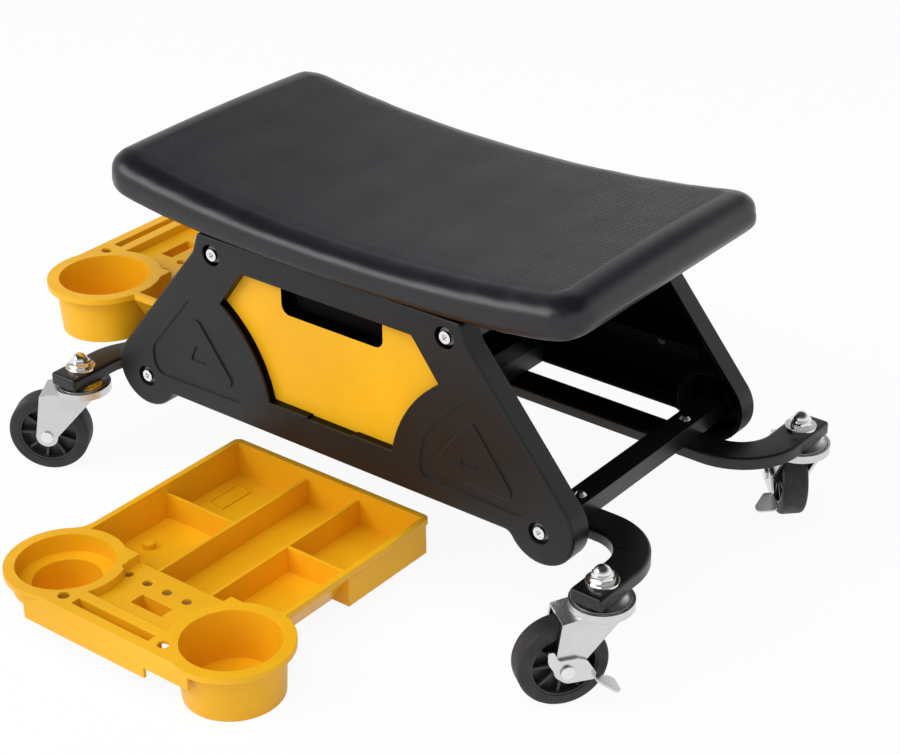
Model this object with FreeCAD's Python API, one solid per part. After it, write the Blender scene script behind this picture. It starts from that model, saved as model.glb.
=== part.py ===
import FreeCAD, Part
import math
import os
from FreeCAD import Vector

os.makedirs("parts", exist_ok=True)

# Rolling creeper seat with two slide-in tool trays, in millimetres.
# The model is drawn about the seat: X along the seat, Y across it, Z up from the floor, with the
# seat's centre over X = Y = 0. At the end everything moves so that the middle of the whole set's
# footprint is at the origin.

# General
cut_over = 1.0            # overrun of every cutting body
soft_gap = 0.3            # gap between faces that only lie close to each other
touch = 0.01              # two places nearer than this are taken as one

# Casters
wheel_d = 69.0
wheel_w = 20.0
tyre_t = 9.0
tyre_round = 3.5
hub_w = 19.0
hub_rim_t = 1.8
hub_web_t = 4.0
hub_boss_r = 9.0
hub_boss_w = 24.0
spoke_count = 9
spoke_t = 2.4
spoke_w = 15.0
axle_r = 4.0
axle_gap = 0.1
axle_head_r = 5.2
axle_head_t = 1.6
trail = 31.0
fork_t = 2.5
fork_inside_w = 25.0
fork_boss_r = 9.4
fork_front = 16.0         # leg's front top corner, ahead of the stem
fork_bend = 12.0          # from here back the crown slopes down
fork_drop = 3.5
fork_back = 34.0          # leg's back top corner, behind the stem
wheel_gap = 5.4           # wheel top to fork crown
race_r = 24.3
race_wall = 2.0
race_h = 4.0
plate_gap = 0.7
plate_rim_t = 2.2
plate_t = 5.0             # at the middle, where the plate is domed
plate_top_r = 15.0
stem_r = 5.0
stem_gap = 0.3
pin_head_r = 8.5
pin_head_t = 2.5
ball_count = 14
ball_r = 1.15
ball_ring_r = 16.0

# Brake lever, a flat body round the axle with a raised horn behind and a wide paddle in front.
# Distances are taken from the axle: back away from the stem, ahead towards it.
brake_gap = 0.5
brake_t = 2.0
brake_low = 10.2
brake_high = 10.2
brake_horn_back = 14.5
brake_horn_top = 18.8
brake_horn_w = 4.5
brake_waist_back = 6.5
brake_ahead = 21.5
brake_ahead_high = 4.6
brake_shoulder_ahead = 15.0
brake_shoulder_high = 6.8
brake_round = 2.2
paddle_ahead = 37.0
paddle_drop = 17.5
paddle_in = 14.5
paddle_out = 37.0
paddle_root_out = 24.0
paddle_round = 4.0

# Caster places, and the way that each wheel trails as an angle in degrees from +X
stem_x = 266.0
stem_y = 137.0
angle_near_left = -147.0
angle_near_right = -126.0
angle_far_right = 134.0
angle_far_left = 150.0

# Base rails, one each side, with hooked ends over the casters
rail_w = 28.0
rail_t = 10.0
rail_y = 70.5
rail_hook_r = 28.0
rail_end = 21.0           # past the stem
rail_round = 2.5
stem_bore_gap = 0.2
washer_r = 12.5
washer_t = 1.8
lock_ring_r = 9.2
lock_ring_t = 1.3
nut_across = 16.0
nut_t = 3.4
nut_dome_r = 7.2

# Side panels
panel_y = 123.5           # outer face
panel_depth = 19.0
panel_wall = 3.0
panel_round = 2.5
panel_top_z = 251.0
panel_top_x = 130.0
panel_shoulder_x = 136.3
panel_shoulder_z = 233.3
panel_bottom_z = 93.5
panel_corner_r = 4.0
foot_r = 30.5
foot_set_in = 31.2        # foot's centre, in from the seat's end
foot_z = 106.0
foot_blend_r = 8.0
recess_r = 9.0
recess_depth = 5.0
window_top_z = 228.6
window_top_x = 84.5
window_side_x = 109.5
window_side_z = 195.5
window_waist_x = 79.0
window_waist_z = 164.0
window_bottom_x = 62.5
window_bottom_z = 122.5
sill_dip_half_l = 23.0
sill_dip = 1.2
window_return = 5.0
window_return_t = 2.5
relief_t = 1.2
# Relief outlines on a leg: x as a share of the foot's distance from the middle, height as a share
# of the panel's height, and corner radius as a share of the foot's radius
relief_outer_shares = ((0.433, 0.111, 0.33), (0.946, 0.098, 0.39), (0.946, 0.251, 0.39),
                       (0.690, 0.651, 0.39), (0.468, 0.352, 0.66))
relief_inner_shares = ((0.483, 0.175, 0.20), (0.901, 0.162, 0.20), (0.690, 0.524, 0.20))
relief_mark_shares = ((0.632, 0.260, 0.066), (0.732, 0.257, 0.066), (0.690, 0.365, 0.066))

# Window inserts
insert_t = 3.0
insert_lap = 7.0
insert_gap = 0.3
notch_x = 50.5
notch_z = 202.0
notch_r = 8.0
pocket_over = 6.0         # hand pocket, out past the notch it lies behind

# Cross bars: upper ones carry the seat board, lower ones tie the rails and the feet
bar_w = 20.0
bar_h = 15.0
bar_wall = 2.0
bar_plug_l = 14.0
upper_bar_x = 115.5
upper_bar_z = 235.6
lower_bar_set_in = 0.8    # lower bars, in from the feet's centres
bolt_r = 3.0
bolt_l = 20.0
bolt_head_r = 5.0
bolt_head_t = 3.6
bolt_washer_r = 7.2
bolt_washer_t = 1.2
bolt_socket_r = 2.2
bolt_socket_depth = 2.0
screw_r = 2.5
screw_head_r = 5.0
screw_head_t = 2.6
rail_screw_y = 71.0

# Seat
seat_half_l = 232.0
seat_half_w = 128.0
seat_corner_r = 27.0
seat_top_z = 274.5
seat_rise = 22.5
seat_under_rise = 15.0
seat_roll = 13.0
seat_crown = 2.5
board_half_l = 142.0
board_half_w = 100.0
board_screw_y = 60.0

# Centre divider between the trays
divider_half_w = 38.0
divider_top_z = 128.0
divider_wall = 3.0
divider_boss_r = 7.0
divider_gap = 0.4

# Tray rails inside the panels
ledge_half_l = 185.0
ledge_t = 2.5
ledge_h = 15.0
ledge_stop_t = 4.0
ledge_stop_h = 4.0
ledge_boss_set_in = 33.0  # ledge screws, in from the ledge's ends
ledge_boss_r = 5.0
small_screw_r = 1.6
small_screw_head_r = 3.2
small_screw_head_t = 1.6
small_screw_l = 7.0
insert_screw_x = 97.0
insert_screw_z = 221.0
insert_foot_screw_x = 50.0
insert_foot_screw_z = 116.5

# Tool tray, drawn with +X away from its straight end and +Y towards the plain cup
tray_half_w = 103.4
tray_wall = 2.5
tray_rim_over = 2.9
tray_rim_t = 5.0
tray_rim_z = 44.0
tray_corner_r = 6.0
box_l = 178.0
box_depth = 33.0
divide_drop = 8.0
divide_t = 2.6
divide_left_y = -22.5
divide_right_y = 32.5
divide_cross_x = 90.0
deck_drop = 7.5
deck_x = 235.5
deck_left_y = -42.0
deck_right_y = 54.0
ridge_left_y = -62.0
ridge_right_y = 74.0
front_x = 262.0
cup_x = 216.0
cup_y = 92.0
cup_rim_r = 48.0
cup_inner_r = 38.0
cup_taper = 2.5
cup_wall = 3.0
dish_x = 217.0
dish_y = -80.0
dish_rim_r = 47.5
dish_inner_r = 38.5
dish_depth = 16.0
well_r = 27.0
neck_blend_r = 22.0
side_recess_x = 97.0
side_recess = 17.0
hole_x = 192.7
hole_pitch = 20.7
hole_mid_y = 4.0
hole_count = 5
hole_r = 4.0
end_hole_x = 249.5
end_hole_y = 52.0
end_hole_r = 4.6
slot_x = 249.0
slot_w = 8.0
slot_half_l = 40.0
slot_mid_y = 5.0
slot_floor_z = 22.0
socket_x = 212.0
socket_y = 7.0
socket_l = 32.0
socket_w = 12.5
skirt_deep_z = 17.0
skirt_shallow_z = 26.0
skirt_step_y = 47.0
rib_x = 39.0
rib_y = -79.0
rib_half_l = 17.0
rib_half_w = 9.0
rib_w = 1.6
rib_h = 1.0
peg_x = 133.0
peg_y = -78.0
peg_r = 5.0
peg_h = 5.0

# Tray places: the mounted tray's straight end and base, the standing tray's straight end
mounted_end_x = 59.5
mounted_base_z = 116.5
standing_x = -38.4
standing_y = -81.5

# Derived places
arm_top = wheel_d + wheel_gap + fork_t + ball_r * 2 + soft_gap + plate_t + rail_t
arm_under = arm_top - rail_t
nut_under = arm_top + washer_t + lock_ring_t
wheel_r = wheel_d / 2
crown_under = wheel_d + wheel_gap
crown_top = crown_under + fork_t
plate_under = arm_under - plate_t
panel_in = panel_y - panel_depth
recess_floor = panel_y - recess_depth
bar_end = recess_floor - panel_wall
bolt_low_z = arm_top + bar_h / 2
board_under = upper_bar_z + bar_h / 2
board_t = panel_top_z - board_under
insert_face = panel_y - panel_wall - window_return
ledge_face = insert_face - insert_t - insert_gap
ledge_top = mounted_base_z + tray_rim_z - tray_rim_t - soft_gap
tray_body_half_w = tray_half_w - tray_rim_over
foot_x = seat_half_l - foot_set_in
lower_bar_x = foot_x - lower_bar_set_in
ledge_boss_x = ledge_half_l - ledge_boss_set_in


# Geometry helpers

def box(x0, x1, y0, y1, z0, z1):
    return Part.makeBox(x1 - x0, y1 - y0, z1 - z0, Vector(x0, y0, z0))


def post(r, z0, z1, x=0, y=0):
    return Part.makeCylinder(r, z1 - z0, Vector(x, y, z0), Vector(0, 0, 1))


def cone(r0, r1, z0, z1, x=0, y=0):
    return Part.makeCone(r0, r1, z1 - z0, Vector(x, y, z0), Vector(0, 0, 1))


def rod(r, y0, y1, x, z):
    return Part.makeCylinder(r, y1 - y0, Vector(x, y0, z), Vector(0, 1, 0))


def fuse(shapes):
    whole = shapes[0]
    for other in shapes[1:]:
        whole = whole.fuse(other)
    return whole.removeSplitter()


def cut(shape, tools):
    for tool in tools:
        shape = shape.cut(tool)
    return shape


def hexagon(across, z0, z1, x=0, y=0):
    corner = across / math.sqrt(3)
    points = []
    for i in range(7):
        a = math.pi * i / 3
        points.append(Vector(x + corner * math.cos(a), y + corner * math.sin(a), z0))
    return Part.Face(Part.makePolygon(points)).extrude(Vector(0, 0, z1 - z0))


def ring_of_corners(corners):
    """Edges of a closed outline in XY. Each corner is (x, y, radius)."""
    marks = []
    count = len(corners)
    for i in range(count):
        here = Vector(corners[i][0], corners[i][1], 0)
        before = Vector(corners[i - 1][0], corners[i - 1][1], 0) - here
        after = Vector(corners[(i + 1) % count][0], corners[(i + 1) % count][1], 0) - here
        radius = corners[i][2]
        if radius <= 0:
            marks.append((here, here, here))
            continue
        half = before.getAngle(after) / 2
        back = radius / math.tan(half)
        first = here + before.normalize() * back
        last = here + after.normalize() * back
        middle_way = (before + after).normalize()
        centre = here + middle_way * (radius / math.sin(half))
        marks.append((first, centre - middle_way * radius, last))
    edges = []
    for i in range(count):
        first, middle, last = marks[i]
        if (first - last).Length > 0:
            edges.append(Part.Arc(first, middle, last).toShape())
        start = marks[(i + 1) % count][0]
        if (start - last).Length > 0:
            edges.append(Part.LineSegment(last, start).toShape())
    return edges


def plan(corners, z0, z1):
    """A flat outline in plan, made solid from z0 to z1."""
    face = Part.Face(Part.Wire(ring_of_corners(corners)))
    face.translate(Vector(0, 0, z0))
    return face.extrude(Vector(0, 0, z1 - z0))


def side(corners, y0, y1):
    """An outline given as (x, z, radius), made solid from y0 to y1."""
    face = Part.Face(Part.Wire(ring_of_corners(corners)))
    face.rotate(Vector(0, 0, 0), Vector(1, 0, 0), 90)
    face.translate(Vector(0, y0, 0))
    return face.extrude(Vector(0, y1 - y0, 0))


def inset(corners, distance):
    """The same outline moved inwards; the corners run anticlockwise."""
    moved = []
    count = len(corners)
    for i in range(count):
        here = Vector(corners[i][0], corners[i][1], 0)
        before = (here - Vector(corners[i - 1][0], corners[i - 1][1], 0)).normalize()
        after = (Vector(corners[(i + 1) % count][0], corners[(i + 1) % count][1], 0) - here).normalize()
        n0 = Vector(-before.y, before.x, 0)
        n1 = Vector(-after.y, after.x, 0)
        step = (n0 + n1) * (distance / (1 + n0.dot(n1)))
        moved.append((here.x + step.x, here.y + step.y, max(corners[i][2] - distance, 0)))
    return moved


def edges_at(shape, axis, value):
    """Edges that lie wholly in the plane axis = value."""
    found = []
    for edge in shape.Edges:
        box_of = edge.BoundBox
        low = {"x": box_of.XMin, "y": box_of.YMin, "z": box_of.ZMin}[axis]
        high = {"x": box_of.XMax, "y": box_of.YMax, "z": box_of.ZMax}[axis]
        if abs(low - value) < touch and abs(high - value) < touch:
            found.append(edge)
    return found


def upright_edges_at(shape, x, y):
    """Vertical edges through (x, y)."""
    found = []
    for edge in shape.Edges:
        box_of = edge.BoundBox
        level = box_of.XMax - box_of.XMin + box_of.YMax - box_of.YMin
        if level < touch and abs(box_of.XMin - x) < touch and abs(box_of.YMin - y) < touch:
            found.append(edge)
    return found


def far_side(shape):
    return shape.mirror(Vector(0, 0, 0), Vector(0, 1, 0))


def left_side(shape):
    return shape.mirror(Vector(0, 0, 0), Vector(1, 0, 0))


# Side panels and window inserts

def slant_point():
    """Where the slanted edge from the shoulder meets the foot's circle."""
    shoulder = Vector(panel_shoulder_x, panel_shoulder_z, 0)
    to_foot = Vector(foot_x, foot_z, 0) - shoulder
    spread = math.asin(foot_r / to_foot.Length)
    reach = math.sqrt(to_foot.Length ** 2 - foot_r ** 2)
    angle = math.atan2(to_foot.y, to_foot.x) + spread
    return shoulder + Vector(math.cos(angle), math.sin(angle), 0) * reach


def panel_corners():
    touch = slant_point()
    half_cut = math.sqrt(foot_r ** 2 - (foot_z - panel_bottom_z) ** 2)
    right = [(panel_top_x, panel_top_z, panel_corner_r), (panel_shoulder_x, panel_shoulder_z, 0),
             (touch.x, touch.y, 0), (foot_x, foot_z, 0), (foot_x - half_cut, panel_bottom_z, 0)]
    left = [(-x, z, r) for x, z, r in reversed(right)]
    return list(reversed(left + right))


def panel_block(inward, y0, y1):
    """The panel's outline drawn in by a distance, made solid from y0 to y1."""
    body = side(inset(panel_corners(), inward), y0, y1)
    feet = [rod(foot_r - inward, y0, y1, s * foot_x, foot_z) for s in (-1, 1)]
    return fuse([body] + feet)


def window_block(outward, y0, y1):
    """The window, or a larger copy of it, as a solid from y0 to y1."""
    bow = Part.Arc(Vector(window_side_x, window_side_z, 0), Vector(window_waist_x, window_waist_z, 0),
                   Vector(window_bottom_x, window_bottom_z, 0)).toShape()
    top = window_top_z
    right = [(window_bottom_x, window_bottom_z), (window_side_x, window_side_z), (window_top_x, top)]
    edges = [bow,
             Part.LineSegment(Vector(right[1][0], right[1][1], 0), Vector(right[2][0], top, 0)).toShape(),
             Part.LineSegment(Vector(right[2][0], top, 0), Vector(-right[2][0], top, 0)).toShape(),
             Part.LineSegment(Vector(-right[2][0], top, 0), Vector(-right[1][0], right[1][1], 0)).toShape(),
             bow.mirror(Vector(0, 0, 0), Vector(1, 0, 0)),
             Part.LineSegment(Vector(-right[0][0], right[0][1], 0),
                              Vector(right[0][0], right[0][1], 0)).toShape()]
    wire = Part.Wire(Part.__sortEdges__(edges))
    if outward:
        wire = wire.makeOffset2D(outward, 2)
    face = Part.Face(wire)
    face.rotate(Vector(0, 0, 0), Vector(1, 0, 0), 90)
    face.translate(Vector(0, y0, 0))
    return face.extrude(Vector(0, y1 - y0, 0))


def relief_outline(shares):
    height = panel_top_z - panel_bottom_z
    return [(foot_x * x, panel_bottom_z + height * z, foot_r * r) for x, z, r in shares]


def leg_relief():
    """Sunk rounded field on a leg, with a triangle left standing in it and a small sunk one in that."""
    field = side(relief_outline(relief_outer_shares), -panel_y - cut_over, -panel_y + relief_t)
    stands = side(relief_outline(relief_inner_shares), -panel_y - cut_over, -panel_y + relief_t)
    mark = side(relief_outline(relief_mark_shares), -panel_y - cut_over, -panel_y + relief_t)
    return [field.cut(stands), mark]


def foot_cup(x):
    """Round wall that closes the foot off from the leg, inside the panel."""
    ring = rod(foot_r, -panel_y + panel_wall / 2, -panel_in, x, foot_z)
    ring = ring.cut(rod(foot_r - panel_wall, -panel_y, -panel_in + cut_over, x, foot_z))
    return ring.common(box(x - foot_r, x + foot_r, -panel_y, -panel_in, panel_bottom_z, foot_z + foot_r))


def hand_pocket():
    """Closed pocket behind the notch, hung from the panel's top wall."""
    half_l = notch_x + pocket_over
    low = notch_z - pocket_over
    outside = box(-half_l, half_l, -ledge_face, -panel_in, low, panel_top_z - panel_wall / 2)
    inside = box(-half_l + panel_wall, half_l - panel_wall, -ledge_face - cut_over, -panel_in - panel_wall,
                 low + panel_wall, panel_top_z - panel_wall)
    return outside.cut(inside)


def bolt_places():
    return [(s * upper_bar_x, upper_bar_z) for s in (-1, 1)] + [(s * lower_bar_x, bolt_low_z) for s in (-1, 1)]


def insert_screw_places():
    top = [(s * insert_screw_x, insert_screw_z) for s in (-1, 1)]
    return top + [(s * insert_foot_screw_x, insert_foot_screw_z) for s in (-1, 1)]


def make_panel():
    """Near panel: a shell open towards the middle, its outer face at y = -panel_y."""
    shell = panel_block(0, -panel_y, -panel_in)
    half_cut = math.sqrt(foot_r ** 2 - (foot_z - panel_bottom_z) ** 2)
    hollows = []
    for edge in shell.Edges:
        b = edge.BoundBox
        flat = b.XMax - b.XMin + b.ZMax - b.ZMin < soft_gap
        at_blend = abs(abs(b.Center.x) - (foot_x - half_cut)) < soft_gap
        if flat and at_blend and abs(b.Center.z - panel_bottom_z) < soft_gap:
            hollows.append(edge)
    shell = shell.makeFillet(foot_blend_r, hollows)
    shell = shell.makeFillet(panel_round, edges_at(shell, "y", -panel_y))
    shell = shell.cut(panel_block(panel_wall, -panel_y + panel_wall, -panel_in + cut_over))
    back = -insert_face
    shell = shell.fuse(window_block(window_return_t, -panel_y + panel_wall / 2, back))
    for x, z in bolt_places():
        shell = shell.fuse(rod(recess_r + panel_wall, -panel_y + panel_wall / 2, -bar_end, x, z))
    for s in (-1, 1):
        shell = shell.fuse(rod(ledge_boss_r, -panel_y + panel_wall / 2, -ledge_face, s * ledge_boss_x, ledge_mid()))
    for x, z in insert_screw_places():
        shell = shell.fuse(rod(ledge_boss_r, -panel_y + panel_wall / 2, back, x, z))
    shell = shell.fuse(hand_pocket())
    for s in (-1, 1):
        shell = shell.fuse(foot_cup(s * foot_x))
    tools = [window_block(0, -panel_y - cut_over, back + cut_over)]
    tools.append(box(-sill_dip_half_l, sill_dip_half_l, -panel_y - cut_over, back + cut_over,
                     window_bottom_z - sill_dip, window_bottom_z + cut_over))
    for shape in leg_relief():
        tools += [shape, left_side(shape)]
    for x, z in bolt_places():
        tools.append(rod(recess_r, -panel_y - cut_over, -recess_floor, x, z))
        tools.append(rod(bolt_r, -panel_y, -bar_end + cut_over, x, z))
    for s in (-1, 1):
        tools.append(rod(small_screw_r, -ledge_face - small_screw_l + ledge_t, -ledge_face + cut_over,
                         s * ledge_boss_x, ledge_mid()))
    for x, z in insert_screw_places():
        tools.append(rod(small_screw_r, back - small_screw_l + insert_t, back + cut_over, x, z))
    return cut(shell, tools).removeSplitter()


def ledge_mid():
    return ledge_top - ledge_h / 2


def make_insert():
    """Plate behind the near window, with the notch in its top edge."""
    plate = window_block(insert_lap, -insert_face, -insert_face + insert_t)
    notch = side([(-notch_x, notch_z, notch_r), (notch_x, notch_z, notch_r),
                  (notch_x, window_top_z + insert_lap + cut_over, 0),
                  (-notch_x, window_top_z + insert_lap + cut_over, 0)],
                 -insert_face - cut_over, -insert_face + insert_t + cut_over)
    for x, z in insert_screw_places():
        plate = plate.fuse(rod(ledge_boss_r, -insert_face, -insert_face + insert_t, x, z))
    tools = [notch]
    for x, z in insert_screw_places():
        tools.append(rod(small_screw_r, -insert_face - cut_over, -insert_face + insert_t + cut_over, x, z))
    return cut(plate, tools).removeSplitter()


def small_screw(y_head, x, z):
    """Pan head screw driven outwards through the face at y_head on the near side."""
    shank = rod(small_screw_r, y_head - small_screw_l, y_head, x, z)
    head = rod(small_screw_head_r, y_head, y_head + small_screw_head_t, x, z)
    return shank.fuse(head).removeSplitter()


# Tray rails

def make_ledge():
    """Near tray rail: an upright strip on the panel's bosses with a shelf and two end stops."""
    shelf_in = tray_body_half_w + soft_gap
    strip = box(-ledge_half_l, ledge_half_l, -ledge_face, -ledge_face + ledge_t, ledge_top - ledge_h, ledge_top)
    shelf = box(-ledge_half_l, ledge_half_l, -ledge_face, -shelf_in, ledge_top - ledge_t, ledge_top)
    stop_x = mounted_end_x - soft_gap
    stops = [box(min(s * stop_x, s * (stop_x - ledge_stop_t)), max(s * stop_x, s * (stop_x - ledge_stop_t)),
                 -ledge_face, -shelf_in, ledge_top - ledge_t, ledge_top + ledge_stop_h) for s in (-1, 1)]
    rail = fuse([strip, shelf] + stops)
    holes = [rod(small_screw_r, -ledge_face - cut_over, -ledge_face + ledge_t + cut_over, s * ledge_boss_x,
                 ledge_mid()) for s in (-1, 1)]
    return cut(rail, holes)


# Cross bars, bolts and screws

def bar_tube(x, z_mid, screw_ys):
    """Square tube across the frame, its ends against the panels' bolt recesses."""
    tube = box(x - bar_w / 2, x + bar_w / 2, -bar_end, bar_end, z_mid - bar_h / 2, z_mid + bar_h / 2)
    inside = box(x - bar_w / 2 + bar_wall, x + bar_w / 2 - bar_wall, -bar_end - cut_over, bar_end + cut_over,
                 z_mid - bar_h / 2 + bar_wall, z_mid + bar_h / 2 - bar_wall)
    tube = tube.cut(inside)
    holes = [post(screw_r, z_mid - bar_h, z_mid + bar_h, x, y) for y in screw_ys]
    return cut(tube, holes)


def bar_plugs():
    """Threaded plugs in the ends of the four cross bars."""
    plugs = []
    for x, z in bolt_places():
        for s in (-1, 1):
            near_end, far_end = sorted((s * bar_end, s * (bar_end - bar_plug_l)))
            plug = box(x - bar_w / 2 + bar_wall, x + bar_w / 2 - bar_wall, near_end, far_end,
                       z - bar_h / 2 + bar_wall, z + bar_h / 2 - bar_wall)
            plugs.append(plug.cut(rod(bolt_r, near_end - cut_over, far_end + cut_over, x, z)))
    return plugs


def panel_bolts():
    bolts = []
    for x, z in bolt_places():
        seat = -recess_floor - bolt_washer_t
        shank = rod(bolt_r, seat, seat + bolt_l, x, z)
        head = rod(bolt_head_r, seat - bolt_head_t, seat, x, z)
        socket = rod(bolt_socket_r, seat - bolt_head_t - cut_over, seat - bolt_head_t + bolt_socket_depth, x, z)
        bolt = shank.fuse(head).cut(socket).removeSplitter()
        bolts += [bolt, far_side(bolt)]
    return bolts


def panel_bolt_washers():
    rings = []
    for x, z in bolt_places():
        ring = rod(bolt_washer_r, -recess_floor - bolt_washer_t, -recess_floor, x, z)
        ring = ring.cut(rod(bolt_r, -panel_y, -panel_in, x, z))
        rings += [ring, far_side(ring)]
    return rings


def crossbar_screws():
    """Screws down through the lower cross bars into the base rails."""
    top = arm_top + bar_h
    screws = []
    for sx in (-1, 1):
        for sy in (-1, 1):
            shank = post(screw_r, arm_under, top, sx * lower_bar_x, sy * rail_screw_y)
            head = cone(screw_head_r, screw_head_r / 2, top, top + screw_head_t, sx * lower_bar_x, sy * rail_screw_y)
            screws.append(shank.fuse(head).removeSplitter())
    return screws


def board_screws():
    """Screws up through the upper cross bars into the seat board."""
    low = upper_bar_z - bar_h / 2
    screws = []
    for sx in (-1, 1):
        for sy in (-1, 1):
            shank = post(screw_r, low, board_under + board_t / 2, sx * upper_bar_x, sy * board_screw_y)
            head = cone(screw_head_r / 2, screw_head_r, low - screw_head_t, low, sx * upper_bar_x, sy * board_screw_y)
            screws.append(shank.fuse(head).removeSplitter())
    return screws


# Base rails

def make_rail():
    """Near base rail: a straight bar whose ends hook outwards over the casters."""
    outer_r = rail_hook_r + rail_w
    arm_out = stem_x + rail_w / 2
    arm_in = stem_x - rail_w / 2
    inner_y = -(rail_y - rail_w / 2)
    outer_y = -(rail_y + rail_w / 2)
    end_y = -(stem_y + rail_end)
    corners = [(-arm_out, end_y, rail_round), (-arm_in, end_y, rail_round), (-arm_in, outer_y, rail_hook_r),
               (arm_in, outer_y, rail_hook_r), (arm_in, end_y, rail_round), (arm_out, end_y, rail_round),
               (arm_out, inner_y, outer_r), (-arm_out, inner_y, outer_r)]
    bar = plan(corners, arm_under, arm_top)
    bar = bar.makeFillet(rail_round, edges_at(bar, "z", arm_top))
    holes = [post(stem_r + stem_bore_gap, arm_under - cut_over, arm_top + cut_over, s * stem_x, -stem_y)
             for s in (-1, 1)]
    holes += [post(screw_r, arm_under - cut_over, arm_top + cut_over, s * lower_bar_x, -rail_screw_y)
              for s in (-1, 1)]
    holes.append(post(screw_r, arm_under - cut_over, arm_top + cut_over, 0, -rail_y))
    return cut(bar, holes)


def stem_washers():
    rings = []
    for sx in (-1, 1):
        for sy in (-1, 1):
            x, y = sx * stem_x, sy * stem_y
            ring = fuse([post(washer_r, arm_top, arm_top + washer_t, x, y),
                         post(lock_ring_r, arm_top, nut_under, x, y)])
            rings.append(ring.cut(post(stem_r + stem_bore_gap, arm_top - cut_over, nut_under + cut_over, x, y)))
    return rings


def acorn_nuts():
    nuts = []
    low = nut_under
    for sx in (-1, 1):
        for sy in (-1, 1):
            x, y = sx * stem_x, sy * stem_y
            body = hexagon(nut_across, low, low + nut_t, x, y)
            dome = Part.makeSphere(nut_dome_r, Vector(x, y, low + nut_t))
            skirt = cone(nut_across / 2 + soft_gap, nut_dome_r, low + nut_t, low + nut_t + washer_t, x, y)
            above = box(x - washer_r, x + washer_r, y - washer_r, y + washer_r, low + nut_t / 2, low + washer_r * 2)
            nut = fuse([body, dome.common(above), skirt])
            nuts.append(nut.cut(post(stem_r, low - cut_over, low + nut_t, x, y)))
    return nuts


# Casters, drawn with the stem on the Z axis and the wheel trailing towards +X

def make_stem():
    """Threaded stem with the fixed upper plate of the swivel and the pin head under the crown."""
    shaft = post(stem_r, crown_under - stem_gap, nut_under + nut_t)
    plate_r = race_r - race_wall - plate_gap
    plate = fuse([post(plate_r, plate_under, plate_under + plate_rim_t),
                  cone(plate_r - race_wall, plate_top_r, plate_under + plate_rim_t, arm_under, 0, 0)])
    head = post(pin_head_r, crown_under - stem_gap - pin_head_t, crown_under - stem_gap)
    return fuse([shaft, plate, head])


def make_balls():
    balls = []
    for i in range(ball_count):
        a = 2 * math.pi * i / ball_count
        centre = Vector(ball_ring_r * math.cos(a), ball_ring_r * math.sin(a), crown_top + ball_r)
        balls.append(Part.makeSphere(ball_r, centre))
    return balls


def make_fork():
    inside = fork_inside_w / 2
    outside = inside + fork_t
    slope = side([(fork_bend, crown_under, 0), (fork_back, crown_under - fork_drop, 0),
                  (fork_back, crown_top - fork_drop, 0), (fork_bend, crown_top, 0)], -outside, outside)
    crown = fuse([post(race_r, crown_under, crown_top),
                  box(0, fork_bend, -outside, outside, crown_under, crown_top), slope])
    leg_corners = [(-fork_front, crown_top, 0), (trail - fork_boss_r, wheel_r, 0),
                   (trail + fork_boss_r, wheel_r, 0), (fork_back, crown_top - fork_drop, 0),
                   (fork_bend, crown_top, 0)]
    pieces = [crown]
    for y0, y1 in ((-outside, -inside), (inside, outside)):
        pieces.append(side(leg_corners, y0, y1))
        pieces.append(rod(fork_boss_r, y0, y1, trail, wheel_r))
    cup = post(race_r, crown_top - fork_t / 2, crown_top + race_h)
    cup = cup.cut(post(race_r - race_wall, crown_top - fork_t, crown_top + race_h + cut_over))
    pieces.append(cup)
    fork = fuse(pieces)
    tools = [post(stem_r + stem_gap, crown_under - cut_over, crown_top + cut_over),
             rod(axle_r, -outside - cut_over, outside + cut_over, trail, wheel_r)]
    return cut(fork, tools)


def make_axle(braked):
    inside = fork_inside_w / 2
    outside = inside + fork_t
    tip = outside + (brake_gap + brake_t + brake_gap if braked else 0)
    shaft = rod(axle_r, -outside, tip, trail, wheel_r)
    heads = [rod(axle_head_r, -outside - axle_head_t, -outside, trail, wheel_r),
             rod(axle_head_r, tip, tip + axle_head_t, trail, wheel_r)]
    return fuse([shaft] + heads)


def make_hub():
    hub_r = wheel_r - tyre_t
    rim = rod(hub_r, -hub_w / 2, hub_w / 2, trail, wheel_r)
    rim = rim.cut(rod(hub_r - hub_rim_t, -hub_w, hub_w, trail, wheel_r))
    web = rod(hub_r - hub_rim_t / 2, -hub_web_t / 2, hub_web_t / 2, trail, wheel_r)
    boss = rod(hub_boss_r, -hub_boss_w / 2, hub_boss_w / 2, trail, wheel_r)
    pieces = [rim, web, boss]
    for i in range(spoke_count):
        spoke = box(trail, trail + hub_r - hub_rim_t / 2, -spoke_w / 2, spoke_w / 2,
                    wheel_r - spoke_t / 2, wheel_r + spoke_t / 2)
        spoke.rotate(Vector(trail, 0, wheel_r), Vector(0, 1, 0), 360.0 * i / spoke_count)
        pieces.append(spoke)
    return fuse(pieces).cut(rod(axle_r + axle_gap, -hub_boss_w, hub_boss_w, trail, wheel_r))


def make_tyre():
    hub_r = wheel_r - tyre_t
    ring = rod(wheel_r, -wheel_w / 2, wheel_w / 2, trail, wheel_r)
    rims = []
    for edge in ring.Edges:
        b = edge.BoundBox
        if b.YMax - b.YMin < soft_gap:
            rims.append(edge)
    ring = ring.makeFillet(tyre_round, rims)
    return ring.cut(rod(hub_r, -wheel_w, wheel_w, trail, wheel_r))


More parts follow.
